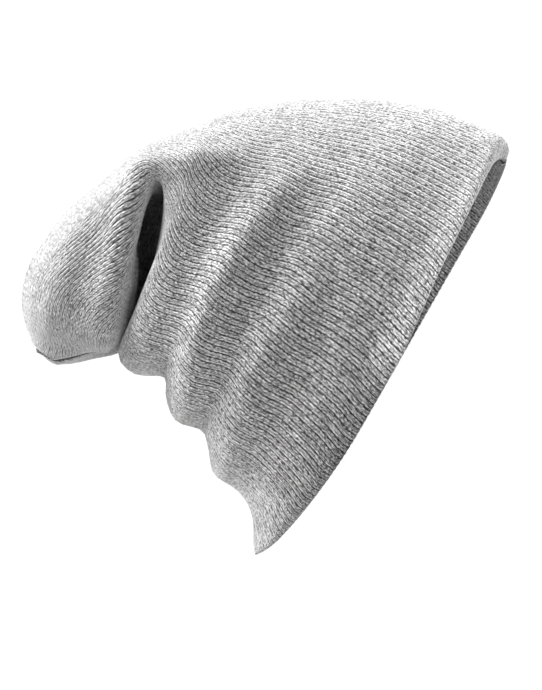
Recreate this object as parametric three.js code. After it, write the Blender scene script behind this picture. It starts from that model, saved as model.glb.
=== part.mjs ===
// A slouch beanie: a double layered tube of ribbed knit, folded over at the rim and closed by one crown seam.
// It rests on its rim. Millimetres, X to the forehead, Y to the wearer's left, Z up, origin under its middle.
import * as THREE from "three";

// Driving dimensions of the cloth.
const WALL = 4.0; // two layers of knit, each 2 mm thick
const LIP_CHAMFER = 1.3; // rounding of the folded rim, seen in section
const FAR_FOLD_SHARE = 0.8; // height of the left side's folds as a share of the right side's
const RIM_LIFT_FADE = 30; // length of rib over which a lifted rim settles
const FOLD_FREE_RIM = 12; // length of rib by the rim that the side folds leave plain
const POCKET_SWING = 0.22; // turn of the left half of the hanging crown, per millimetre of Y
const SWING_EASE = 20; // width over which that turn begins
const SWING_DIRECTION = new THREE.Vector3(0.497, 0, -0.868); // square to the crease between crown and body
const TUCK_REACH = 5; // the higher, the nearer to the back the tucks stay
const RIBS = 180; // ribs round the hat
const RIB_TURN = 20; // ribs by which the crown is twisted at its tip
const TURN_START = 195; // length of rib at which that twist begins
const TURN_END = 285; // and at which it is complete
const CENTRE_X = 3.52; // middle of the hat's length before it is centred on the origin
const CENTRE_Y = -0.257; // and of its width

// Driving dimensions of the crown seam.
const SEAM_START = 236; // length of rib at which the seam begins
const GROOVE_DEPTH = 1.2;
const SEAM_WIDTH = 1.6;
const SEAM_HEIGHT = 1.0;
const SEAM_FLOAT = 0.75; // underside of the seam above the bottom of its groove

// How finely the cloth is divided.
const AROUND = 56;
const LOOP_SAMPLES = 240;
const COURSE_STEPS = [
  { from: 0, to: 30, step: 7.5 },
  { from: 30, to: 98, step: 8.5 },
  { from: 98, to: 168, step: 7.8 },
  { from: 168, to: 216, step: 4.8 },
  { from: 216, to: 260, step: 8.8 },
  { from: 260, to: 294, step: 5.7 },
];
const RIB_LENGTH = 294; // from the rim to the tip of the crown

// One row for each course that shapes the hat. rib is the length of rib from the rim. The course passes
// through the front point (fx, fz) and the back point (bx, bz) of the middle plane. half is half its width,
// lean and sag shift its sides along and across the line from back to front, and square is the exponent of
// its rounded outline.
const COURSES = [
  { rib: 0, fx: 107.5, fz: 1.3, bx: -108, bz: 1.3, half: 80.5, lean: 6, sag: 0, square: 2 },
  { rib: 5, fx: 112.3, fz: 2.6, bx: -105.5, bz: 4, half: 81, lean: -0.5, sag: 2.7, square: 2 },
  { rib: 14, fx: 115, fz: 10.5, bx: -95, bz: 15, half: 81.5, lean: -10.5, sag: 1.8, square: 2 },
  { rib: 30, fx: 113.5, fz: 29.5, bx: -88, bz: 33, half: 82.5, lean: -13, sag: -1, square: 2 },
  { rib: 44.5, fx: 111, fz: 43, bx: -82, bz: 46.5, half: 82.5, lean: -13, sag: -1, square: 2.05 },
  { rib: 55, fx: 107.5, fz: 52.5, bx: -78, bz: 56, half: 82.5, lean: -13, sag: 0, square: 2.1 },
  { rib: 64, fx: 104, fz: 62, bx: -75, bz: 64, half: 82, lean: -13, sag: 0, square: 2.1 },
  { rib: 77.5, fx: 98.5, fz: 74, bx: -70.5, bz: 75.5, half: 81.5, lean: -12.5, sag: 0, square: 2.15 },
  { rib: 88, fx: 93, fz: 83.5, bx: -67, bz: 84, half: 81, lean: -11.5, sag: 0, square: 2.2 },
  { rib: 98, fx: 88, fz: 92, bx: -64, bz: 91.5, half: 80.5, lean: -10, sag: 0, square: 2.25 },
  { rib: 113, fx: 79.5, fz: 104.5, bx: -59, bz: 102.5, half: 79.5, lean: -7.5, sag: 0, square: 2.35 },
  { rib: 123, fx: 73, fz: 112, bx: -54, bz: 109.5, half: 78.5, lean: -5, sag: 0, square: 2.5 },
  { rib: 138, fx: 64, fz: 123, bx: -42, bz: 113.5, half: 77.5, lean: -2, sag: 0, square: 2.7 },
  { rib: 152, fx: 52.5, fz: 131.5, bx: -25.5, bz: 116, half: 76, lean: 2.5, sag: -2.5, square: 2.9 },
  { rib: 171, fx: 37, fz: 142.8, bx: -5, bz: 120.5, half: 73.5, lean: 4.5, sag: -3.5, square: 2.8 },
  { rib: 181, fx: 29, fz: 148.3, bx: 8, bz: 122, half: 72.5, lean: 3, sag: -3, square: 2.8 },
  { rib: 192, fx: 20, fz: 153.8, bx: 18, bz: 127.5, half: 72, lean: 0, sag: -2.5, square: 2.8 },
  { rib: 202, fx: 9.5, fz: 158, bx: 10.5, bz: 136, half: 71, lean: -4, sag: -3, square: 2.8 },
  { rib: 213, fx: -1, fz: 161.5, bx: -5, bz: 135, half: 69.5, lean: -3.5, sag: -2.5, square: 3.1 },
  { rib: 228, fx: -14, fz: 166, bx: -23, bz: 124.5, half: 66.5, lean: -4.5, sag: 0.5, square: 3.6 },
  { rib: 244, fx: -30.5, fz: 168, bx: -39.2, bz: 118.3, half: 60, lean: -4.5, sag: 1, square: 3.4 },
  { rib: 258, fx: -43.5, fz: 168.5, bx: -50, bz: 115.5, half: 51, lean: -5, sag: 2, square: 3.1 },
  { rib: 271, fx: -58, fz: 164, bx: -57.5, bz: 117.5, half: 37, lean: -4.5, sag: 2, square: 2.7 },
  { rib: 283, fx: -68, fz: 156.5, bx: -64.5, bz: 123, half: 21, lean: -3.5, sag: 1, square: 2.3 },
  { rib: 289, fx: -72, fz: 151.5, bx: -72.3, bz: 129.4, half: 11, lean: -2, sag: 0, square: 2.1 },
  { rib: 292, fx: -74, fz: 149.5, bx: -77, bz: 135.8, half: 7, lean: -1, sag: 0, square: 2 },
  { rib: 294, fx: -75.5, fz: 145, bx: -75.5, bz: 145, half: 0, lean: 0, sag: 0, square: 2 },
];

// How the crown's end hangs over to the left: drop sags the left side further, drift moves the middle in Y.
const CROWN_HANG = [
  { rib: 0, drop: 0, drift: 0 },
  { rib: 200, drop: 0, drift: 0 },
  { rib: 213, drop: 0, drift: 0 },
  { rib: 228, drop: 0, drift: -2 },
  { rib: 244, drop: 2, drift: -4 },
  { rib: 258, drop: 4, drift: -7 },
  { rib: 271, drop: 5, drift: -10 },
  { rib: 283, drop: 5, drift: -12 },
  { rib: 289, drop: 4, drift: -12 },
  { rib: 294, drop: 0, drift: -12 },
];

// The short tucks that the slack cloth takes at the back, as shifts of the back point in X and Z.
const BACK_TUCKS = [
  { rib: 0, x: 0, z: 0 },
  { rib: 14, x: 0, z: 0 },
  { rib: 30, x: 1.5, z: 1.5 },
  { rib: 44.5, x: -3, z: 2 },
  { rib: 55, x: 1.5, z: 0 },
  { rib: 64, x: 4.5, z: -1.5 },
  { rib: 77.5, x: -2, z: 0 },
  { rib: 88, x: 1, z: 0 },
  { rib: 98, x: 6.5, z: -2.5 },
  { rib: 113, x: -4, z: 0 },
  { rib: 123, x: -5.5, z: 2.5 },
  { rib: 138, x: 0, z: 0 },
  { rib: 152, x: 0, z: 0 },
  { rib: 294, x: 0, z: 0 },
];

// How far the rim is lifted off the surface, by the angle round it: 0 front, 90 left, 180 back, 270 right.
const RIM_LIFT = [
  { angle: 0, lift: 3 },
  { angle: 20, lift: 1.5 },
  { angle: 45, lift: 0 },
  { angle: 110, lift: 0 },
  { angle: 122, lift: 0.5 },
  { angle: 138, lift: 3 },
  { angle: 155, lift: 7 },
  { angle: 180, lift: 12.5 },
  { angle: 205, lift: 7 },
  { angle: 222, lift: 3.2 },
  { angle: 238, lift: 0.8 },
  { angle: 250, lift: 0 },
  { angle: 268, lift: 0 },
  { angle: 290, lift: 4 },
  { angle: 305, lift: 5.5 },
  { angle: 320, lift: 6.8 },
  { angle: 340, lift: 7.5 },
  { angle: 352, lift: 6 },
  { angle: 360, lift: 3 },
];

// The soft folds across the side, each a bent band through three points seen from the side.
// height is out of the cloth, so a valley's is negative, and spread is half the width of the band.
const SIDE_FOLDS = [
  { x1: 32, z1: 102, x2: 9, z2: 103, x3: -21, z3: 98, height: -2.6, spread: 8 },
  { x1: -54, z1: 76, x2: -12, z2: 87.5, x3: 48, z3: 84, height: 4.6, spread: 8 },
  { x1: -51, z1: 67, x2: -1, z2: 72, x3: 46, z3: 71, height: -3, spread: 8 },
  { x1: -64, z1: 50, x2: -31, z2: 55, x3: 15, z3: 53, height: 2.8, spread: 8 },
  { x1: -64, z1: 38, x2: -22, z2: 35, x3: 15, z3: 46, height: -2.4, spread: 8 },
  { x1: -9, z1: 12, x2: 8, z2: 15, x3: 24, z3: 22, height: -0.8, spread: 7 },
  { x1: 20, z1: 142, x2: -3, z2: 139.5, x3: -56.5, z3: 121, height: 6, spread: 5.2 },
  { x1: 24, z1: 137.5, x2: 34, z2: 125, x3: 46, z3: 110, height: 3, spread: 6 },
  { x1: 12, z1: 152, x2: -13, z2: 152, x3: -64, z3: 136, height: -2, spread: 6 },
];

const smooth = (t) => {
  const clamped = Math.min(Math.max(t, 0), 1);
  return clamped * clamped * (3 - 2 * clamped);
};

// A smooth curve through one column of a table, with the slope at each row taken from its two neighbours.
function readTable(rows, key, column, at) {
  const last = rows.length - 1;
  let i = 0;
  while (i < last - 1 && rows[i + 1][key] < at) i += 1;
  const slope = (k) => {
    const a = rows[Math.max(k - 1, 0)];
    const b = rows[Math.min(k + 1, last)];
    return (b[column] - a[column]) / (b[key] - a[key]);
  };
  const span = rows[i + 1][key] - rows[i][key];
  const t = (at - rows[i][key]) / span;
  const rise = t * t * (3 - 2 * t);
  const early = t * (1 - t) * (1 - t) * span * slope(i);
  const late = t * t * (t - 1) * span * slope(i + 1);
  return rows[i][column] * (1 - rise) + rows[i + 1][column] * rise + early + late;
}

function readRow(rows, rib) {
  const row = { rib };
  for (const column of Object.keys(rows[0])) {
    if (column !== "rib") row[column] = readTable(rows, "rib", column, rib);
  }
  return row;
}

function readCourse(rib) {
  return { ...readRow(COURSES, rib), ...readRow(CROWN_HANG, rib), tuck: readRow(BACK_TUCKS, rib) };
}

// A point of a course at an angle: 0 in front, a quarter turn on the left, half a turn at the back.
function coursePoint(course, angle) {
  const round = Math.pow(
    Math.abs(Math.cos(angle)) ** course.square + Math.abs(Math.sin(angle)) ** course.square,
    -1 / course.square,
  );
  const along = round * Math.cos(angle);
  const side = round * Math.sin(angle);
  const halfX = (course.fx - course.bx) / 2;
  const halfZ = (course.fz - course.bz) / 2;
  const length = Math.max(Math.hypot(halfX, halfZ), 1e-6);
  const lean = course.lean * (1 - (1 - side * side) ** 2);
  const sag = (course.sag + (side > 0 ? course.drop : 0)) * side * side;
  const tuck = ((1 - along) / 2) ** TUCK_REACH;
  const shiftX = (lean * halfX - sag * halfZ) / length + course.tuck.x * tuck;
  const shiftZ = (lean * halfZ + sag * halfX) / length + course.tuck.z * tuck;
  const point = new THREE.Vector3(
    (course.fx + course.bx) / 2 + halfX * along + shiftX,
    course.drift + course.half * side,
    (course.fz + course.bz) / 2 + halfZ * along + shiftZ,
  );
  const hanging = smooth((course.rib - 171) / 45);
  const swing = smooth((course.rib - 75) / 70) * (hanging + (1 - hanging) * smooth(1 - along));
  const leftward = (point.y + Math.hypot(point.y, SWING_EASE) - SWING_EASE) / 2;
  point.addScaledVector(SWING_DIRECTION, POCKET_SWING * swing * leftward);
  const lift = readTable(RIM_LIFT, "angle", "lift", THREE.MathUtils.radToDeg(angle));
  point.z += Math.max(lift, 0) * (1 - smooth(course.rib / RIM_LIFT_FADE));
  point.x -= CENTRE_X;
  point.y -= CENTRE_Y;
  return point;
}

// The course cut into equal steps of arc on each side of the middle plane, as its ribs are, and turned as far
// as the crown is twisted there.
function courseRing(rib) {
  const course = readCourse(rib);
  const halves = [0, Math.PI].map((start) => {
    const points = [];
    const lengths = [0];
    for (let k = 0; k <= LOOP_SAMPLES; k += 1) {
      points.push(coursePoint(course, start + (Math.PI * k) / LOOP_SAMPLES));
      if (k > 0) lengths.push(lengths[k - 1] + points[k].distanceTo(points[k - 1]));
    }
    return { points, lengths };
  });
  const turned = (2 * RIB_TURN * smooth((rib - TURN_START) / (TURN_END - TURN_START))) / RIBS;
  const ring = [];
  for (let step = 0; step < AROUND; step += 1) {
    const share = ((2 * step) / AROUND + turned) % 2;
    const { points, lengths } = halves[Math.floor(share)];
    const target = lengths[LOOP_SAMPLES] * (share % 1);
    let k = 0;
    while (lengths[k + 1] < target) k += 1;
    const within = (target - lengths[k]) / (lengths[k + 1] - lengths[k]);
    ring.push(points[k].clone().lerp(points[k + 1], within));
  }
  return ring;
}

// Outward normals of a grid of rings that closes at a tip.
function ringNormals(rings, tip) {
  const tipRing = Array(AROUND).fill(tip);
  return rings.map((ring, row) =>
    ring.map((point, k) => {
      const around = ring[(k + 1) % AROUND].clone().sub(ring[(k + AROUND - 1) % AROUND]);
      const above = (rings[row + 1] ?? tipRing)[k];
      const along = above.clone().sub((rings[row - 1] ?? ring)[k]);
      return around.cross(along).normalize();
    }),
  );
}

function mean(points) {
  const sum = new THREE.Vector3();
  for (const point of points) sum.add(point);
  return sum.divideScalar(points.length);
}

// Height of the soft side folds at a point of the cloth.
function foldHeight(point, course) {
  let height = 0;
  for (const fold of SIDE_FOLDS) {
    let nearest = Infinity;
    let ends = 0;
    const bends = 24;
    for (let k = 0; k <= bends; k += 1) {
      const t = k / bends;
      const a = (1 - t) * (1 - t);
      const b = 2 * t * (1 - t);
      const c = t * t;
      const x = a * fold.x1 + b * (2 * fold.x2 - (fold.x1 + fold.x3) / 2) + c * fold.x3 - CENTRE_X;
      const z = a * fold.z1 + b * (2 * fold.z2 - (fold.z1 + fold.z3) / 2) + c * fold.z3;
      const distance = Math.hypot(point.x - x, point.z - z);
      if (distance < nearest) {
        nearest = distance;
        ends = Math.sin(Math.PI * (0.15 + 0.7 * t));
      }
    }
    height += fold.height * ends * Math.exp(-((nearest / fold.spread) ** 2));
  }
  const sideways = smooth((Math.abs(point.y) / course.half - 0.25) / 0.5);
  const clearOfRim = smooth(course.rib / FOLD_FREE_RIM);
  return height * sideways * clearOfRim * (point.y > 0 ? FAR_FOLD_SHARE : 1);
}

function courseRows() {
  const rows = [];
  for (const { from, to, step } of COURSE_STEPS) {
    const count = Math.round((to - from) / step);
    for (let k = 0; k < count; k += 1) rows.push(from + ((to - from) * k) / count);
  }
  return rows;
}

// The outer face: plain rings, then the side folds, then the groove in which the crown seam lies.
function outerFace() {
  const rows = courseRows();
  const rings = rows.map(courseRing);
  const tip = coursePoint(readCourse(RIB_LENGTH), 0);
  const normals = ringNormals(rings, tip);
  rings.forEach((ring, row) => {
    const course = readCourse(rows[row]);
    ring.forEach((point, k) => point.addScaledVector(normals[row][k], foldHeight(point, course)));
  });
  const soft = rings.map((ring) => ring.map((point) => point.clone()));
  const softTip = tip.clone();
  const softNormals = ringNormals(soft, softTip);
  const tipNormal = mean(softNormals[rows.length - 1]).normalize();
  rings.forEach((ring, row) => {
    const grooved = smooth((rows[row] - SEAM_START + 8) / 8);
    for (const seam of [0, AROUND / 2]) {
      ring[seam].addScaledVector(softNormals[row][seam], -GROOVE_DEPTH * grooved);
    }
  });
  tip.addScaledVector(tipNormal, -GROOVE_DEPTH);
  return { rows, rings, tip, soft, softTip, softNormals, tipNormal };
}

class Surface {
  constructor() {
    this.positions = [];
    this.indices = [];
  }

  addRing(points) {
    const first = this.positions.length / 3;
    for (const point of points) this.positions.push(point.x, point.y, point.z);
    return first;
  }

  band(lower, upper, count) {
    for (let k = 0; k < count; k += 1) {
      const next = (k + 1) % count;
      this.indices.push(lower + k, lower + next, upper + next);
      this.indices.push(lower + k, upper + next, upper + k);
    }
  }

  fan(ring, tip, count) {
    for (let k = 0; k < count; k += 1) this.indices.push(ring + k, ring + ((k + 1) % count), tip);
  }

  geometry() {
    const geometry = new THREE.BufferGeometry();
    geometry.setAttribute("position", new THREE.Float32BufferAttribute(this.positions, 3));
    geometry.setIndex(this.indices);
    geometry.computeVertexNormals();
    return geometry;
  }
}

// The knitted shell: the inner face from its tip down, round the folded rim and up the outer face.
function knitShell(face) {
  const shell = new Surface();
  const inner = face.soft.map((ring, row) =>
    ring.map((point, k) => point.clone().addScaledVector(face.softNormals[row][k], -WALL)),
  );
  const sections = inner.slice().reverse();
  const rim = face.rings[0];
  const inside = inner[0];
  const across = rim.map((point, k) => {
    const inward = inside[k].clone().sub(point);
    inward.z = 0;
    return inward.normalize();
  });
  rim.forEach((point, k) => {
    inside[k].copy(point).addScaledVector(across[k], WALL);
  });
  for (const inset of [WALL - LIP_CHAMFER, LIP_CHAMFER]) {
    sections.push(
      rim.map((point, k) => {
        const edge = point.clone().addScaledVector(across[k], inset);
        edge.z -= LIP_CHAMFER;
        return edge;
      }),
    );
  }
  sections.push(...face.rings);
  const starts = sections.map((section) => shell.addRing(section));
  for (let k = 1; k < starts.length; k += 1) shell.band(starts[k - 1], starts[k], AROUND);
  const innerTip = face.softTip.clone().addScaledVector(face.tipNormal, -WALL);
  const tips = shell.addRing([innerTip, face.tip]);
  shell.fan(starts[starts.length - 1], tips + 1, AROUND);
  for (let k = 0; k < AROUND; k += 1) {
    shell.indices.push(starts[0] + ((k + 1) % AROUND), starts[0] + k, tips);
  }
  return shell.geometry();
}

// The crown seam: a slim cord of linking stitches along its groove, from the front over the tip to the back.
function crownSeam(face) {
  const path = [];
  const back = AROUND / 2;
  face.rows.forEach((rib, row) => {
    if (rib >= SEAM_START) path.push({ point: face.rings[row][0], normal: face.softNormals[row][0] });
  });
  path.push({ point: face.tip, normal: face.tipNormal });
  for (let row = face.rows.length - 1; face.rows[row] >= SEAM_START; row -= 1) {
    path.push({ point: face.rings[row][back], normal: face.softNormals[row][back] });
  }
  const seam = new Surface();
  const starts = path.map(({ point, normal }, k) => {
    const before = path[Math.max(k - 1, 0)].point;
    const after = path[Math.min(k + 1, path.length - 1)].point;
    const across = after.clone().sub(before).cross(normal).normalize();
    const corners = [
      { side: -0.5, up: SEAM_FLOAT },
      { side: 0.5, up: SEAM_FLOAT },
      { side: 0.5, up: SEAM_FLOAT + SEAM_HEIGHT },
      { side: -0.5, up: SEAM_FLOAT + SEAM_HEIGHT },
    ];
    return seam.addRing(
      corners.map(({ side, up }) =>
        point
          .clone()
          .addScaledVector(across, side * SEAM_WIDTH)
          .addScaledVector(normal, up),
      ),
    );
  });
  for (let k = 1; k < starts.length; k += 1) seam.band(starts[k], starts[k - 1], 4);
  const end = starts[starts.length - 1];
  seam.indices.push(0, 1, 2, 0, 2, 3);
  seam.indices.push(end, end + 2, end + 1, end, end + 3, end + 2);
  return seam.geometry();
}

function named(name, geometry, material) {
  const mesh = new THREE.Mesh(geometry, material);
  mesh.name = name;
  return mesh;
}

const face = outerFace();
const group = new THREE.Group();
group.add(
  named(
    "knit_shell",
    knitShell(face),
    new THREE.MeshStandardMaterial({ color: 0xb4b4b4, roughness: 0.95, metalness: 0 }),
  ),
  named(
    "crown_seam",
    crownSeam(face),
    new THREE.MeshStandardMaterial({ color: 0x8a8a8a, roughness: 0.95, metalness: 0 }),
  ),
);

export default group;
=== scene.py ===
import math

import bpy
import numpy as np
from mathutils import Matrix, Vector


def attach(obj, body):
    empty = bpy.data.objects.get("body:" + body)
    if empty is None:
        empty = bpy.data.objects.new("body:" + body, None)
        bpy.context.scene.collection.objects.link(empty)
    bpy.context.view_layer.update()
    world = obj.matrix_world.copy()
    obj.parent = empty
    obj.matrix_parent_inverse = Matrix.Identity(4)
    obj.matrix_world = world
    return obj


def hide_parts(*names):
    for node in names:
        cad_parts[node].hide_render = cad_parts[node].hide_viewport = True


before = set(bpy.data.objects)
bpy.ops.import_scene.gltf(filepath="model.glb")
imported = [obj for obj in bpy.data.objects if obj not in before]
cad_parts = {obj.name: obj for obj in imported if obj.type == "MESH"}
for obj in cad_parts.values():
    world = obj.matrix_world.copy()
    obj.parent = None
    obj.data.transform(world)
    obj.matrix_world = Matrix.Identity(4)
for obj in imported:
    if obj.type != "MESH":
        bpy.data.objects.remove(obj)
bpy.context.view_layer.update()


# The outer layer of knit. One tube of fine one by one rib in heather grey acrylic, knitted round and
# narrowed towards the crown. It runs from the crown seam down the outside, turns round the rim and ends a
# little way up the inside, where the same tube goes on as the inner layer.

MM = 0.001
RIBS = 180  # ribs round the hat
RIB_LENGTH = 294.0  # place of the crown's tip along the ribs, counted as in COURSES
BODY_PITCH = 3.3  # from rib to rib at the rim, and one step of the cloth's own lengthwise measure
WALL = 4.0  # two layers of knit
LIP_DROP = 1.0  # how far the fold of the rim bulges below its sides
LIP_POINTS = 9  # points of the cloth round that fold
LIP_SMOOTHING = 0.75  # share of the ribs' relief that the fold pulls flat
LIP_SMOOTH_REACH = 3.5
TURNED_IN = 14.0  # length of the outer layer's end inside the rim
TURNED_ROWS = (1.0, 0.66, 0.33)  # where the rows of that end lie, as shares of it
CENTRE_X = 3.52  # shifts that bring the middle of the hat's box to the origin
CENTRE_Y = -0.257
SEAM_START = 236.0  # place along the ribs where the crown seam starts
GROOVE_DEPTH = 1.6  # of the groove that the seam lies in
GROOVE_SPREAD = 1.7
GROOVE_RISE = 8.0  # stretch over which the groove deepens
RIB_RELIEF = 0.22  # depth of the grooves between ribs, as a share of their pitch
RIB_LEVEL = 0.4  # height of a rib above the plain face, as a share of that depth
TIP_START = 285.0  # place along the ribs from which the drawn in tip has flatter ribs
TIP_RELIEF = 0.3
SWING_START = 75.0  # place along the ribs from which the left side swings down
SWING_RISE = 70.0
HANGING_START = 171.0  # and from which the front of the crown swings with it
HANGING_RISE = 45.0
POCKET_SWING = 0.22  # share of its width by which the left side swings
SWING_EASE = 20.0
SWING_DIRECTION = (0.497, -0.868)  # in X and Z
RIM_LIFT_FADE = 30.0
FOLD_FREE_RIM = 12.0  # stretch above the rim over which the side folds come up
FAR_FOLD_SHARE = 0.8  # height of the left side's folds, against the right side's
FOLD_POINTS = 25  # points at which the line of a fold is tried
FOLD_END_FROM = 0.15  # how the height of a fold runs out towards its ends
FOLD_END_SPAN = 0.7
FOLD_SIDE_FROM = 0.25  # share of the hat's half width at which the side folds start
FOLD_SIDE_SPAN = 0.5
ARC_STEPS = 480  # steps along each half of a ring when its arc is measured
PER_RIB = 5  # columns of the mesh to a rib
TURN_START = 195.0  # place along the ribs from which the crown is twisted
TURN_END = 285.0
RIB_TURN = 20  # ribs by which the crown is twisted at its seam

# One row for each course that shapes the hat. rib is its place along the ribs, counted from the rim in
# steps of about a millimetre. The course passes the front point (fx, fz) and the back point (bx, bz) of the
# middle plane, in millimetres. half is half its width, lean and sag shift its sides along and across the
# line from back to front, and square is the exponent of its rounded outline.
#   rib, fx, fz, bx, bz, half, lean, sag, square
COURSES = np.array([
    (0, 107.5, 1.3, -108, 1.3, 80.5, 6, 0, 2),
    (5, 112.3, 2.6, -105.5, 4, 81, -0.5, 2.7, 2),
    (14, 115, 10.5, -95, 15, 81.5, -10.5, 1.8, 2),
    (30, 113.5, 29.5, -88, 33, 82.5, -13, -1, 2),
    (44.5, 111, 43, -82, 46.5, 82.5, -13, -1, 2.05),
    (55, 107.5, 52.5, -78, 56, 82.5, -13, 0, 2.1),
    (64, 104, 62, -75, 64, 82, -13, 0, 2.1),
    (77.5, 98.5, 74, -70.5, 75.5, 81.5, -12.5, 0, 2.15),
    (88, 93, 83.5, -67, 84, 81, -11.5, 0, 2.2),
    (98, 88, 92, -64, 91.5, 80.5, -10, 0, 2.25),
    (113, 79.5, 104.5, -59, 102.5, 79.5, -7.5, 0, 2.35),
    (123, 73, 112, -54, 109.5, 78.5, -5, 0, 2.5),
    (138, 64, 123, -42, 113.5, 77.5, -2, 0, 2.7),
    (152, 52.5, 131.5, -25.5, 116, 76, 2.5, -2.5, 2.9),
    (171, 37, 142.8, -5, 120.5, 73.5, 4.5, -3.5, 2.8),
    (181, 29, 148.3, 8, 122, 72.5, 3, -3, 2.8),
    (192, 20, 153.8, 18, 127.5, 72, 0, -2.5, 2.8),
    (202, 9.5, 158, 10.5, 136, 71, -4, -3, 2.8),
    (213, -1, 161.5, -5, 135, 69.5, -3.5, -2.5, 3.1),
    (228, -14, 166, -23, 124.5, 66.5, -4.5, 0.5, 3.6),
    (244, -30.5, 168, -39.2, 118.3, 60, -4.5, 1, 3.4),
    (258, -43.5, 168.5, -50, 115.5, 51, -5, 2, 3.1),
    (271, -58, 164, -57.5, 117.5, 37, -4.5, 2, 2.7),
    (283, -68, 156.5, -64.5, 123, 21, -3.5, 1, 2.3),
    (289, -72, 151.5, -72.3, 129.4, 11, -2, 0, 2.1),
    (292, -74, 149.5, -77, 135.8, 7, -1, 0, 2),
    (294, -75.5, 145, -75.5, 145, 0, 0, 0, 2),
])

# How the crown's end hangs over to the left: drop sags the left side further, and drift moves the middle
# in Y.
#   rib, drop, drift
CROWN_HANG = np.array([
    (0, 0, 0), (200, 0, 0), (213, 0, 0), (228, 0, -2), (244, 2, -4), (258, 4, -7), (271, 5, -10),
    (283, 5, -12), (289, 4, -12), (294, 0, -12),
])

# The short tucks that the slack cloth takes at the back, as shifts of the back point in X and Z.
#   rib, x, z
BACK_TUCKS = np.array([
    (0, 0, 0), (14, 0, 0), (30, 1.5, 1.5), (44.5, -3, 2), (55, 1.5, 0), (64, 4.5, -1.5), (77.5, -2, 0),
    (88, 1, 0), (98, 6.5, -2.5), (113, -4, 0), (123, -5.5, 2.5), (138, 0, 0), (152, 0, 0), (294, 0, 0),
])
TUCK_REACH = 5.0  # the higher, the nearer to the back the tucks stay

# How far the rim is lifted off the floor, by the angle round it: 0 front, 90 left, 180 back, 270 right.
#   angle, lift
RIM_LIFT = np.array([
    (0, 3), (20, 1.5), (45, 0), (110, 0), (122, 0.5), (138, 3), (155, 7), (180, 12.5), (205, 7), (222, 3.2),
    (238, 0.8), (250, 0), (268, 0), (290, 4), (305, 5.5), (320, 6.8), (340, 7.5), (352, 6), (360, 3),
])

# The soft folds across the side, each a bent band through three points seen from the side, in X and Z.
#   x1, z1, x2, z2, x3, z3, height, spread
SIDE_FOLDS = [
    (32, 102, 9, 103, -21, 98, -2.6, 8),
    (-54, 76, -12, 87.5, 48, 84, 4.6, 8),
    (-51, 67, -1, 72, 46, 71, -3, 8),
    (-64, 50, -31, 55, 15, 53, 2.8, 8),
    (-64, 38, -22, 35, 15, 46, -2.4, 8),
    (-9, 12, 8, 15, 24, 22, -0.8, 7),
    (20, 142, -3, 139.5, -56.5, 121, 6, 5.2),
    (24, 137.5, 34, 125, 46, 110, 3, 6),
    (12, 152, -13, 152, -64, 136, -2, 6),
]


def ease(t):
    """A smooth rise from 0 to 1, flat before and after."""
    t = np.clip(t, 0, 1)
    return t * t * (3 - 2 * t)


def read_table(table, at):
    """Every column of a table at the given keys, as smooth curves through its rows."""
    keys = table[:, 0]
    above = np.concatenate((table[1:], table[-1:]))
    below = np.concatenate((table[:1], table[:-1]))
    slopes = (above - below) / (above[:, :1] - below[:, :1])
    i = np.clip(np.searchsorted(keys, at) - 1, 0, len(keys) - 2)
    span = keys[i + 1] - keys[i]
    t = (at - keys[i]) / span
    rise = t * t * (3 - 2 * t)
    early = t * (1 - t) ** 2 * span
    late = t * t * (t - 1) * span
    return (1 - rise) * table[i].T + rise * table[i + 1].T + early * slopes[i].T + late * slopes[i + 1].T


def form_points(rib, angle):
    """Points of the hat's plain form in millimetres, for places along the ribs and angles round it."""
    _, fx, fz, bx, bz, half, lean, sag, square = (column[:, None] for column in read_table(COURSES, rib))
    _, drop, drift = (column[:, None] for column in read_table(CROWN_HANG, rib))
    _, tuck_x, tuck_z = (column[:, None] for column in read_table(BACK_TUCKS, rib))
    reach = (np.abs(np.cos(angle)) ** square + np.abs(np.sin(angle)) ** square) ** (-1 / square)
    along = reach * np.cos(angle)
    side = reach * np.sin(angle)
    half_x = (fx - bx) / 2
    half_z = (fz - bz) / 2
    length = np.maximum(np.hypot(half_x, half_z), 1e-6)
    sag = sag + np.where(side > 0, drop, 0)
    tuck = ((1 - along) / 2) ** TUCK_REACH
    lean = lean * (1 - (1 - side**2) ** 2)
    sag = sag * side**2
    x = (fx + bx) / 2 + half_x * along + (lean * half_x - sag * half_z) / length + tuck_x * tuck
    y = drift + half * side
    z = (fz + bz) / 2 + half_z * along + (lean * half_z + sag * half_x) / length + tuck_z * tuck
    rib = rib[:, None]
    hanging = ease((rib - HANGING_START) / HANGING_RISE)
    swing = ease((rib - SWING_START) / SWING_RISE) * (hanging + (1 - hanging) * ease(1 - along))
    leftward = (y + np.hypot(y, SWING_EASE) - SWING_EASE) / 2
    x = x + SWING_DIRECTION[0] * POCKET_SWING * swing * leftward
    z = z + SWING_DIRECTION[1] * POCKET_SWING * swing * leftward
    lift = np.maximum(read_table(RIM_LIFT, np.degrees(angle))[1], 0)
    z = z + lift * (1 - ease(rib / RIM_LIFT_FADE))
    return np.stack((x - CENTRE_X, y - CENTRE_Y, z), axis=-1)


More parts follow.
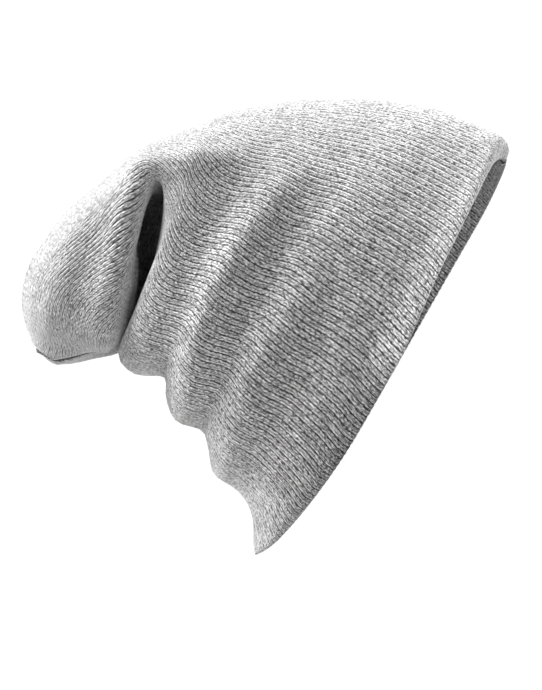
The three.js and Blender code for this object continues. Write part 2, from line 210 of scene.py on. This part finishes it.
def even_rings(rib, share):
    """The form cut at even shares of the arc of each half, and the length of each ring. A share runs from 0
    in front over 1 at the back to 2 in front again, once round by the left."""
    halves = []
    for start in (0, math.pi):
        angle = start + np.linspace(0, math.pi, ARC_STEPS + 1)
        points = form_points(rib, angle)
        gaps = np.linalg.norm(np.diff(points, axis=1), axis=2)
        halves.append((points, np.concatenate((np.zeros((len(rib), 1)), np.cumsum(gaps, axis=1)), axis=1)))
    rings = np.empty((len(rib), share.shape[1], 3))
    for row in range(len(rib)):
        turned = share[row] % 2
        for which, (points, lengths) in enumerate(halves):
            here = (turned >= which) & (turned < which + 1)
            arc = (turned[here] - which) * lengths[row, -1]
            for axis in range(3):
                rings[row, here, axis] = np.interp(arc, lengths[row], points[row, :, axis])
    return rings, halves[0][1][:, -1] + halves[1][1][:, -1]


def sheet_normals(points):
    """Outward normals of rings whose first and last columns are the same line of the cloth."""
    around = np.empty_like(points)
    around[:, 1:-1] = points[:, 2:] - points[:, :-2]
    around[:, 0] = around[:, -1] = points[:, 1] - points[:, -2]
    along = np.gradient(points, axis=0)
    normals = np.cross(around, along)
    return normals / np.maximum(np.linalg.norm(normals, axis=2, keepdims=True), 1e-9)


def fold_height(points, rib):
    """Height of the soft side folds at each point of the cloth."""
    bend = np.linspace(0, 1, FOLD_POINTS)
    half = read_table(COURSES, rib)[5][:, None]
    total = np.zeros(points.shape[:2])
    for x1, z1, x2, z2, x3, z3, height, spread in SIDE_FOLDS:
        nearest = np.full(points.shape[:2], np.inf)
        ends = np.zeros(points.shape[:2])
        for t in bend:
            a, b, c = (1 - t) ** 2, 2 * t * (1 - t), t * t
            x = a * x1 + b * (2 * x2 - (x1 + x3) / 2) + c * x3 - CENTRE_X
            z = a * z1 + b * (2 * z2 - (z1 + z3) / 2) + c * z3
            distance = np.hypot(points[..., 0] - x, points[..., 2] - z)
            closer = distance < nearest
            nearest = np.where(closer, distance, nearest)
            fade = math.sin(math.pi * (FOLD_END_FROM + FOLD_END_SPAN * t))
            ends = np.where(closer, fade, ends)
        total += height * ends * np.exp(-((nearest / spread) ** 2))
    outward = np.abs(points[..., 1]) / np.maximum(half, 1e-3)
    sideways = ease((outward - FOLD_SIDE_FROM) / FOLD_SIDE_SPAN)
    clear_of_rim = ease(rib / FOLD_FREE_RIM)[:, None]
    return total * sideways * clear_of_rim * np.where(points[..., 1] > 0, FAR_FOLD_SHARE, 1)


def spaced_rows(steps):
    """Places along the ribs at even steps in each stretch, which is given as from, to and step."""
    rows = [np.linspace(a, b, round((b - a) / step), endpoint=False) for a, b, step in steps]
    return np.concatenate(rows)


def rib_turn(rib):
    """The twist of the crown, in ribs."""
    return RIB_TURN * ease((rib - TURN_START) / (TURN_END - TURN_START))


def soft_face(rib, columns):
    """The cloth with its folds, before any relief of ribs or seam: points, normals, ring lengths."""
    numbers = np.linspace(0, RIBS, columns + 1)
    share = (numbers[None, :] + rib_turn(rib)[:, None]) / (RIBS / 2)
    rings, lengths = even_rings(rib, share)
    rings = rings + sheet_normals(rings) * fold_height(rings, rib)[..., None]
    return rings, sheet_normals(rings), lengths


def rib_numbers(lengths, columns):
    """The rib at each column of each row, for the left and the right panel of the crown. Where the crown
    narrows past the start of its seam, the outer ribs of each panel end at the seam."""
    narrowing = np.minimum(lengths / lengths.max(), 1)[:, None]
    numbers = np.linspace(0, RIBS, columns + 1)[None, :]
    panels = []
    for middle in (RIBS / 4, RIBS * 3 / 4):
        panels.append(middle + (numbers - middle) * narrowing)
    return panels


def rib_profile(number):
    """Height of the rounded ribs between their narrow grooves, from -1 in a groove to 0 on a rib."""
    return -np.abs(np.cos(np.pi * number)) ** 6


def ribbed(rows, lengths, columns):
    """The row where the crown seam starts, the ribs of both panels and the height of the ribs' relief."""
    start = np.argmin(np.abs(rows - SEAM_START))
    panels = rib_numbers(np.where(rows < rows[start], lengths[start], lengths), columns)
    on_left = np.arange(columns + 1) < columns // 2
    number = np.where(on_left, panels[0], panels[1])
    pitch = np.minimum(lengths / RIBS, BODY_PITCH)[:, None]
    return start, panels, RIB_RELIEF * pitch * (rib_profile(number) + RIB_LEVEL)


def knit_sheet(name, points, panels, rib):
    """A mesh of the cloth, from a flat grid laid on the given points. Its UV map holds the knitting's own
    measures: U counts ribs and V counts steps of one body pitch along them."""
    rows, columns = points.shape[0], points.shape[1]
    bpy.ops.object.select_all(action="DESELECT")
    bpy.ops.mesh.primitive_grid_add(x_subdivisions=columns - 1, y_subdivisions=rows - 1, size=1)
    sheet = bpy.context.object
    sheet.name = name
    mesh = sheet.data
    flat = np.empty(len(mesh.vertices) * 3, np.float32)
    mesh.vertices.foreach_get("co", flat)
    flat = flat.reshape(-1, 3)
    column = np.rint((flat[:, 0] + 0.5) * (columns - 1)).astype(int)
    row = np.rint((flat[:, 1] + 0.5) * (rows - 1)).astype(int)
    mesh.vertices.foreach_set("co", (points[row, column] * MM).astype(np.float32).ravel())
    corner = np.empty(len(mesh.loops), np.int32)
    mesh.loops.foreach_get("vertex_index", corner)
    corner_row, corner_column = row[corner], column[corner]
    cell = np.repeat(corner_column.reshape(-1, 4).min(axis=1), 4)
    on_left = cell < (columns - 1) // 2
    number = np.where(on_left, panels[0][corner_row, corner_column], panels[1][corner_row, corner_column])
    measure = np.stack((number, rib[corner_row] / BODY_PITCH), axis=1).astype(np.float32)
    mesh.uv_layers[0].data.foreach_set("uv", measure.ravel())
    mesh.uv_layers[0].name = "knitting"
    bpy.ops.object.mode_set(mode="EDIT")
    bpy.ops.mesh.select_all(action="SELECT")
    bpy.ops.mesh.remove_doubles(threshold=2e-6)
    bpy.ops.object.mode_set(mode="OBJECT")
    bpy.ops.object.shade_smooth()
    return sheet


outer_rows = spaced_rows([
    (0, 30, 4), (30, 98, 4), (98, 168, 3.6), (168, 216, 2), (216, 260, 3.6), (260, 294, 2.6),
])
outer_rows = np.append(outer_rows, RIB_LENGTH)
outer_columns = RIBS * PER_RIB
outer_soft, outer_normals, outer_lengths = soft_face(outer_rows, outer_columns)

# The fold of the rim: inwards over the thickness of the wall, down round its edge and up inside.
rim = outer_soft[0]
inward = -outer_normals[0]
inward[:, 2] = 0
inward /= np.linalg.norm(inward, axis=1, keepdims=True)
end_row = np.argmin(np.abs(outer_rows - TURNED_IN))
above_rim = outer_soft[end_row] - WALL * outer_normals[end_row]
lip_turn = np.linspace(math.pi, 0, LIP_POINTS)[:-1]
lip = [
    rim + inward * (WALL / 2) * (1 - math.cos(turn)) - np.array((0, 0, LIP_DROP)) * math.sin(turn)
    for turn in lip_turn
]
inner_edge = rim + inward * WALL
turned_in = [inner_edge + (above_rim - inner_edge) * share for share in TURNED_ROWS]
lip_rows = np.concatenate((-WALL - TURNED_IN * np.array(TURNED_ROWS), -WALL * lip_turn / math.pi))
whole_rows = np.concatenate((lip_rows, outer_rows))
whole = np.concatenate((np.array(turned_in), np.array(lip), outer_soft))
whole_lengths = np.concatenate((np.full(len(lip_rows), outer_lengths[0]), outer_lengths))
whole_normals = sheet_normals(whole)
seam_from, whole_panels, relief = ribbed(whole_rows, whole_lengths, outer_columns)
relief[whole_rows > TIP_START] *= TIP_RELIEF
from_lip = (whole_rows + WALL / 2) / LIP_SMOOTH_REACH
relief *= 1 - LIP_SMOOTHING * np.exp(-(from_lip**2))[:, None]
relief[-1] = 0
column_share = np.linspace(0, 2, outer_columns + 1)
from_seam = np.abs(column_share - np.rint(column_share)) * whole_lengths[:, None] / 2
grooved = ease((whole_rows - SEAM_START + GROOVE_RISE) / GROOVE_RISE)[:, None]
groove = GROOVE_DEPTH * grooved * np.exp(-((from_seam / GROOVE_SPREAD) ** 2))
cloth = whole + whole_normals * (relief - groove)[..., None]
cloth[-1] = cloth[-1].mean(axis=0)

outer_knit = knit_sheet("outer_knit", cloth, whole_panels, whole_rows)


def node(tree, kind, values=(), **settings):
    """A shader node with its settings. Its inputs are set to values or joined to other nodes' sockets."""
    made = tree.nodes.new(kind)
    for setting, value in settings.items():
        setattr(made, setting, value)
    for socket, value in values.items() if isinstance(values, dict) else enumerate(values):
        if value is None:
            continue
        if isinstance(value, bpy.types.NodeSocket):
            tree.links.new(value, made.inputs[socket])
        else:
            made.inputs[socket].default_value = value
    return made


def maths(tree, operation, *values):
    """One step of arithmetic on shader values."""
    return node(tree, "ShaderNodeMath", values, operation=operation).outputs[0]


def mixed(tree, kind, amount, first, second):
    """Two colours blended by an amount."""
    inputs = {0: amount, 6: first, 7: second}
    return node(tree, "ShaderNodeMix", inputs, data_type="RGBA", blend_type=kind).outputs[2]


def ramp(tree, value, stops):
    """A smooth grey scale: each stop is a place and a grey."""
    made = node(tree, "ShaderNodeValToRGB", (value,))
    elements = made.color_ramp.elements
    while len(elements) < len(stops):
        elements.new(0.5)
    for element, (place, grey) in zip(elements, stops):
        element.position = place
        element.color = (grey, grey, grey, 1)
    return made.outputs["Color"]


STITCH_ROW = 1.9  # from one row of stitches to the next
STITCH_SLANT = 1.6  # rows that a stitch's leg climbs for each rib that it crosses


def heather_knit(name):
    """Marled grey acrylic in one by one rib: light and dark fibres drawn out along the ribs, rows of small
    stitches, painted shade darkening the grooves and, more lightly, the dip between the two legs of each
    rib's stitches, and paler and darker stretches of yarn."""
    material = bpy.data.materials.new(name)
    material.use_nodes = True
    tree = material.node_tree
    shader = tree.nodes["Principled BSDF"]
    measure = node(tree, "ShaderNodeUVMap", uv_map="knitting").outputs["UV"]
    split = node(tree, "ShaderNodeSeparateXYZ", (measure,))
    rib_number, lengthwise = split.outputs[0], split.outputs[1]
    round_angle = maths(tree, "MULTIPLY", rib_number, 2 * math.pi / RIBS)
    radius = RIBS / (2 * math.pi)
    around_x = maths(tree, "MULTIPLY", maths(tree, "COSINE", round_angle), radius)
    around_y = maths(tree, "MULTIPLY", maths(tree, "SINE", round_angle), radius)
    yarn = node(tree, "ShaderNodeCombineXYZ", (around_x, around_y, lengthwise)).outputs[0]

    def fibres(across, lengthways, offset, detail=2.0):
        """Grey noise on the cloth, so many times finer across and along the ribs than one pitch."""
        laid = node(
            tree, "ShaderNodeMapping",
            {"Vector": yarn, "Location": offset, "Scale": (across, across, lengthways)},
        )
        return node(
            tree, "ShaderNodeTexNoise",
            {"Vector": laid.outputs[0], "Scale": 1.0, "Detail": detail, "Roughness": 0.55},
        ).outputs[0]

    fine = fibres(7.0, 2.6, (0, 0, 0))
    flecks = fibres(5.5, 1.6, (31, 7, 3), 1.0)
    patches = fibres(0.8, 0.4, (5, 17, 9), 1.0)

    marl = ramp(tree, fine, [(0.34, 0.05), (0.45, 0.24), (0.55, 0.52), (0.66, 0.95)])
    pale = ramp(tree, flecks, [(0.56, 0.0), (0.68, 0.75)])
    dark = ramp(tree, flecks, [(0.30, 0.7), (0.42, 0.0)])
    tone = ramp(tree, patches, [(0.3, 0.6), (0.7, 0.8)])

    beside_groove = maths(tree, "PINGPONG", rib_number, 0.5)
    ragged = maths(tree, "MULTIPLY_ADD", fine, 0.25, -0.125)
    across_rib = maths(tree, "ADD", beside_groove, ragged)
    # Painted shade: the colour is darkened in the grooves between ribs and, more lightly, along the dip
    # between the two legs of each rib's stitches.
    painted_groove_shade = ramp(tree, across_rib, [(0.04, 0.06), (0.19, 1.0), (0.37, 1.0), (0.48, 0.5)])

    colour = mixed(tree, "MIX", pale, marl, (0.86, 0.86, 0.86, 1))
    colour = mixed(tree, "MIX", dark, colour, (0.07, 0.07, 0.07, 1))
    colour = mixed(tree, "MULTIPLY", 1.0, colour, tone)
    # The painted shade of the grooves is multiplied into the colour here.
    colour = mixed(tree, "MULTIPLY", 1.0, colour, painted_groove_shade)
    tree.links.new(colour, shader.inputs["Base Color"])

    stitch_row = maths(tree, "MULTIPLY", lengthwise, BODY_PITCH / STITCH_ROW)
    slant = maths(tree, "MULTIPLY", beside_groove, STITCH_SLANT)
    stitch = maths(tree, "PINGPONG", maths(tree, "ADD", stitch_row, slant), 0.5)
    height = maths(tree, "ADD", maths(tree, "MULTIPLY", stitch, 0.8), maths(tree, "MULTIPLY", fine, 1.2))
    bump = node(tree, "ShaderNodeBump", {"Strength": 0.8, "Distance": 0.4 * MM, "Height": height})
    tree.links.new(bump.outputs[0], shader.inputs["Normal"])
    shader.inputs["Roughness"].default_value = 0.95
    shader.inputs["Specular IOR Level"].default_value = 0.2
    shader.inputs["Sheen Weight"].default_value = 0.9
    shader.inputs["Sheen Roughness"].default_value = 0.45
    return material


knit = heather_knit("heather_knit")
outer_knit.data.materials.append(knit)
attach(outer_knit, "root")
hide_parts("knit_shell")


# The inner layer of knit, the rest of the same tube, folded in at the rim. It lies against the outer layer
# all the way up and shows where the head goes in.

INNER_START = 9.0  # place along the ribs where it starts, a little below the end of the outer layer
INNER_PER_RIB = 4
INNER_SMOOTHING = 6  # passes that even out the rows where the folds are tight

inner_rows = spaced_rows([(INNER_START, 168, 4.4), (168, 216, 3), (216, 294, 4)])
inner_rows = np.append(inner_rows, RIB_LENGTH)
inner_columns = RIBS * INNER_PER_RIB
inner_soft, inner_normals, inner_lengths = soft_face(inner_rows, inner_columns)
inner = inner_soft - WALL * inner_normals
for _ in range(INNER_SMOOTHING):
    inner[1:-1] = (inner[:-2] + 2 * inner[1:-1] + inner[2:]) / 4
_, inner_panels, inner_relief = ribbed(inner_rows, inner_lengths, inner_columns)
inner = inner - sheet_normals(inner) * inner_relief[..., None]
inner[-1] = inner[-1].mean(axis=0)

inner_knit = knit_sheet("inner_knit", inner, inner_panels, inner_rows)
bpy.ops.object.mode_set(mode="EDIT")
bpy.ops.mesh.select_all(action="SELECT")
bpy.ops.mesh.flip_normals()
bpy.ops.object.mode_set(mode="OBJECT")
inner_knit.data.materials.append(knit)
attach(inner_knit, "root")
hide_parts("knit_shell")


# The crown seam. A row of linking stitches in the same yarn joins the two narrowed panels of the crown,
# over the end of the pouch from front to back. The stitches are drawn tight, so the row lies in a groove.

STITCH_STEP = 2.3  # from stitch to stitch
STITCH_LENGTH = 3.4
STITCH_WIDTH = 1.7
STITCH_YARN = 0.62  # thickness of its yarn
STITCH_LEAN = 16  # degrees
STITCH_FLOAT = 0.6  # middle of the stitches above the bottom of the groove

half_round = outer_columns // 2
seam_line = np.concatenate((cloth[seam_from:, 0], cloth[seam_from:-1, half_round][::-1]))
seam_up = np.concatenate((whole_normals[seam_from:, 0], whole_normals[seam_from:-1, half_round][::-1]))
tip_at = len(whole_rows) - 1 - seam_from
seam_up[tip_at] = seam_up[tip_at - 1] + seam_up[tip_at + 1]
seam_up /= np.linalg.norm(seam_up, axis=1, keepdims=True)
seam_run = np.concatenate(([0], np.cumsum(np.linalg.norm(np.diff(seam_line, axis=0), axis=1))))


def on_seam(line, at):
    """The value of a line along the seam, at a distance from the seam's start."""
    return Vector([np.interp(at, seam_run, line[:, axis]) for axis in range(3)])


stitch_count = int(seam_run[-1] / STITCH_STEP)
stitches = []
for index in range(stitch_count):
    at = (index + 0.5) * STITCH_STEP
    place = on_seam(seam_line, at)
    ahead = on_seam(seam_line, at + 1) - place
    up = on_seam(seam_up, at).normalized()
    ahead = (ahead - up * ahead.dot(up)).normalized()
    across = up.cross(ahead)
    bpy.ops.object.select_all(action="DESELECT")
    bpy.ops.mesh.primitive_torus_add(
        major_radius=STITCH_WIDTH / 2 * MM, minor_radius=STITCH_YARN / 2 * MM,
        major_segments=12, minor_segments=6,
    )
    stitch = bpy.context.object
    lean = Matrix.Rotation(math.radians(STITCH_LEAN), 4, "Y")
    stretch = Matrix.Diagonal((STITCH_LENGTH / (STITCH_WIDTH + STITCH_YARN), 1, 1, 1))
    turn = Matrix((ahead, across, up)).transposed().to_4x4()
    move = Matrix.Translation((place + up * STITCH_FLOAT) * MM)
    stitch.data.transform(move @ turn @ lean @ stretch)
    stitches.append(stitch)
bpy.ops.object.select_all(action="DESELECT")
for stitch in stitches:
    stitch.select_set(True)
bpy.context.view_layer.objects.active = stitches[0]
bpy.ops.object.join()
seam_stitches = bpy.context.object
seam_stitches.name = "seam_stitches"
bpy.ops.object.shade_smooth()

seam_yarn = bpy.data.materials.new("seam_yarn")
seam_yarn.use_nodes = True
seam_tree = seam_yarn.node_tree
seam_shader = seam_tree.nodes["Principled BSDF"]
seam_place = node(seam_tree, "ShaderNodeTexCoord").outputs["Object"]
seam_fleck = node(
    seam_tree, "ShaderNodeTexNoise", {"Vector": seam_place, "Scale": 2200.0, "Detail": 1.0}
).outputs[0]
# Painted shade: the seam's yarn is coloured near black to stand for the shade of the groove it lies in;
# only its lighter and darker flecks are the yarn's own.
seam_tree.links.new(
    ramp(seam_tree, seam_fleck, [(0.36, 0.02), (0.5, 0.07), (0.66, 0.25)]), seam_shader.inputs["Base Color"]
)
seam_bump = node(seam_tree, "ShaderNodeBump", {"Strength": 0.6, "Distance": 0.2 * MM, "Height": seam_fleck})
seam_tree.links.new(seam_bump.outputs[0], seam_shader.inputs["Normal"])
seam_shader.inputs["Roughness"].default_value = 0.9
seam_stitches.data.materials.append(seam_yarn)
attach(seam_stitches, "root")
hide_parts("crown_seam")


# The studio: a pale floor, broad soft light from above and from both ends, and two low lights that reach
# in under the lifted rim. The long lens is held low beside the hat, tipped up a little and rolled, so
# that the hat's rim runs slanting down the picture.

FLOOR_GREY = 0.285
SKY = 0.05
#   name, direction, spread in degrees, strength
LIGHTS = [
    ("overhead", Vector((0.24, -0.06, 0.94)), 40, 10.8),
    ("forehead_side", Vector((1.0, -0.05, 0.35)), 50, 1.4),
    ("nape_side", Vector((-1.0, -0.45, 0.6)), 60, 2.0),
    ("low_side", Vector((0.38, -0.92, 0.004)), 1, 0.6),
]
floor_light = SKY + sum(
    strength * direction.normalized().z / math.pi for _, direction, _, strength in LIGHTS
)

bpy.ops.object.select_all(action="DESELECT")
bpy.ops.mesh.primitive_circle_add(vertices=96, radius=20, fill_type="NGON")
floor = bpy.context.object
floor.name = "floor"
floor_paper = bpy.data.materials.new("floor_paper")
floor_paper.use_nodes = True
floor_shader = floor_paper.node_tree.nodes["Principled BSDF"]
floor_shader.inputs["Base Color"].default_value = (FLOOR_GREY, FLOOR_GREY, FLOOR_GREY, 1)
floor_shader.inputs["Roughness"].default_value = 0.9
floor_shader.inputs["Specular IOR Level"].default_value = 0.0
floor.data.materials.append(floor_paper)

world = bpy.data.worlds.new("studio")
bpy.context.scene.world = world
world.use_nodes = True
world_tree = world.node_tree
sky = world_tree.nodes["Background"]
sky.inputs["Color"].default_value = (1, 1, 1, 1)
seen = node(world_tree, "ShaderNodeLightPath").outputs["Is Camera Ray"]
strength = maths(world_tree, "MULTIPLY_ADD", seen, FLOOR_GREY * floor_light - SKY, SKY)
world_tree.links.new(strength, sky.inputs["Strength"])

PHOTO_UP = Vector((0.868, 0, 0.497))
CAMERA_DISTANCE = 3.0
PICTURE_HEIGHT = 0.3174  # metres at the hat's middle plane
SENSOR = 36.0
picture_centre = Vector((-0.0243, 0, 0.0552))

lens = bpy.data.cameras.new("camera")
camera = bpy.data.objects.new("camera", lens)
bpy.context.scene.collection.objects.link(camera)
toward = Vector((0, -1, -0.018)).normalized()
across_picture = PHOTO_UP.cross(toward).normalized()
camera.matrix_world = (
    Matrix.Translation(picture_centre + toward * CAMERA_DISTANCE)
    @ Matrix((across_picture, toward.cross(across_picture), toward)).transposed().to_4x4()
)
lens.sensor_width = SENSOR
lens.lens = SENSOR * CAMERA_DISTANCE / PICTURE_HEIGHT
bpy.context.scene.camera = camera


def light(name, kind, turn, **settings):
    """A light of a kind with its settings, turned as given."""
    lamp = bpy.data.lights.new(name, kind)
    for setting, value in settings.items():
        setattr(lamp, setting, value)
    holder = bpy.data.objects.new(name, lamp)
    bpy.context.scene.collection.objects.link(holder)
    holder.rotation_euler = turn
    return holder


for name, direction, spread, power in LIGHTS:
    turn = direction.to_track_quat("Z", "Y").to_euler()
    light(name, "SUN", turn, angle=math.radians(spread), energy=power)

# A low strip of light beside the lifted rim stands for the glow of the pale floor there.
floor_glow = light(
    "floor_glow", "AREA", (math.radians(90), 0, 0),
    shape="RECTANGLE", size=0.16, size_y=0.006, spread=math.radians(4), energy=0.006,
)
floor_glow.location = (0.07, -0.45, 0.004)

bpy.context.scene.view_settings.view_transform = "Standard"
